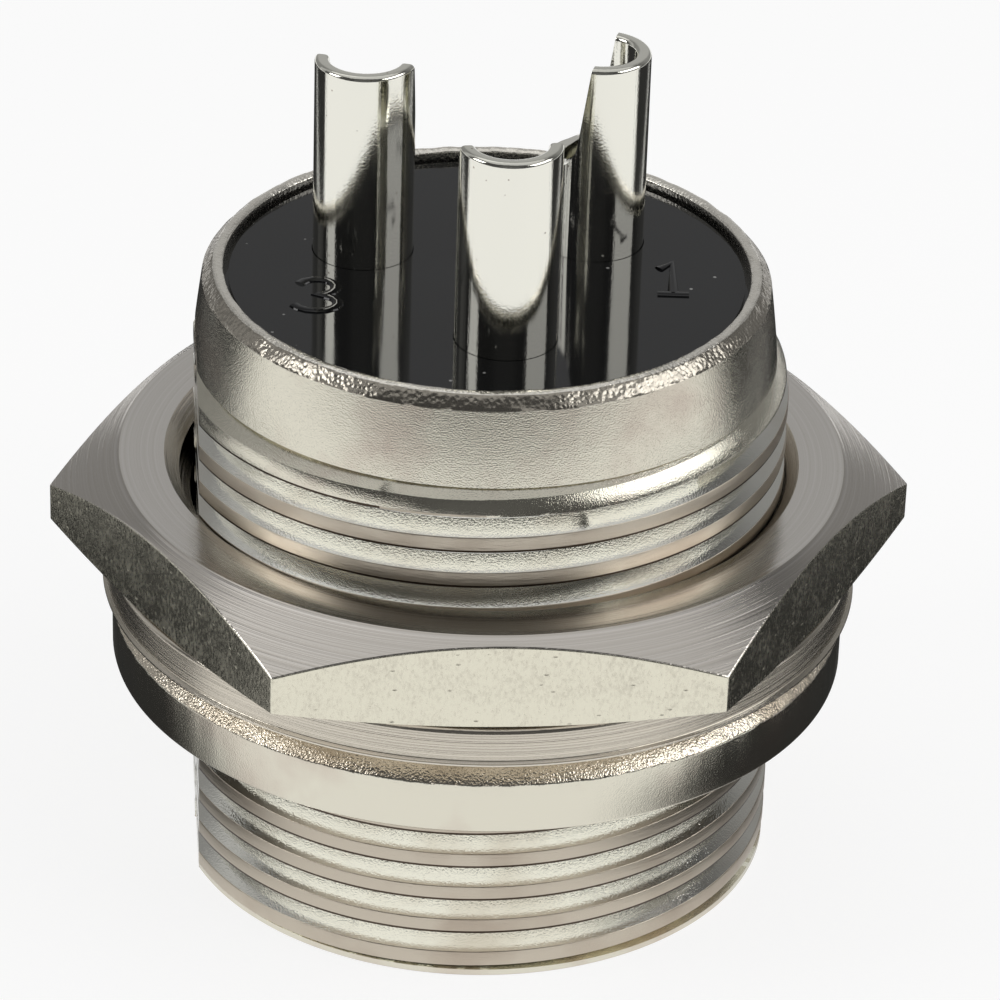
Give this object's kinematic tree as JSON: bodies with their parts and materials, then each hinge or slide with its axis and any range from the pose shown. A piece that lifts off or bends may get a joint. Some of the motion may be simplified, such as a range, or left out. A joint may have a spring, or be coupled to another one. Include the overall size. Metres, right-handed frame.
{
  "type": "circular panel-mount connector receptacle",
  "caption": "Threaded panel-mount circular connector receptacle with flange, clamping washer and hex nut, pin contacts in a keyed socket and solder cups behind.",
  "frame": {"origin": "centre of the shell's front rim, on the plane that the connector stands on", "axes": "+Z along the shell's axis, from the socket towards the solder cups; -Y is the side that the picture shows"},
  "size_m": [0.0224, 0.0202, 0.0217],
  "materials": {
    "cast_nickel": "nickel-plated zinc die casting with a slightly sandy skin",
    "black_insulator": "glossy black moulded insulator",
    "bright_nickel": "bright nickel plate on turned brass",
    "polished_nickel": "polished nickel plate",
    "turned_nickel": "nickel plate over fine turning rings"
  },
  "bodies": {
    "receptacle": {"shell": "cast_nickel", "front_insulator": "black_insulator", "rear_insulator": "black_insulator", "contact_1": "bright_nickel", "contact_2": "bright_nickel", "contact_3": "bright_nickel"},
    "washer": {"washer": "polished_nickel"},
    "nut": {"nut": "turned_nickel"}
  },
  "joints": [
    {"name": "washer_travel", "type": "slide", "parent": "receptacle", "child": "washer", "axis": [0, 0, 1], "range_m": [0, 0.0025]},
    {"name": "nut_screw", "type": "hinge", "parent": "washer", "child": "nut", "pos_m": [0, 0, 0.0099], "axis": [0, 0, 1], "range_deg": [0, 900]}
  ],
  "couplings": [
    {"joint": "washer_travel", "follows": "nut_screw", "m_per_rad": 0.00015915}
  ]
}
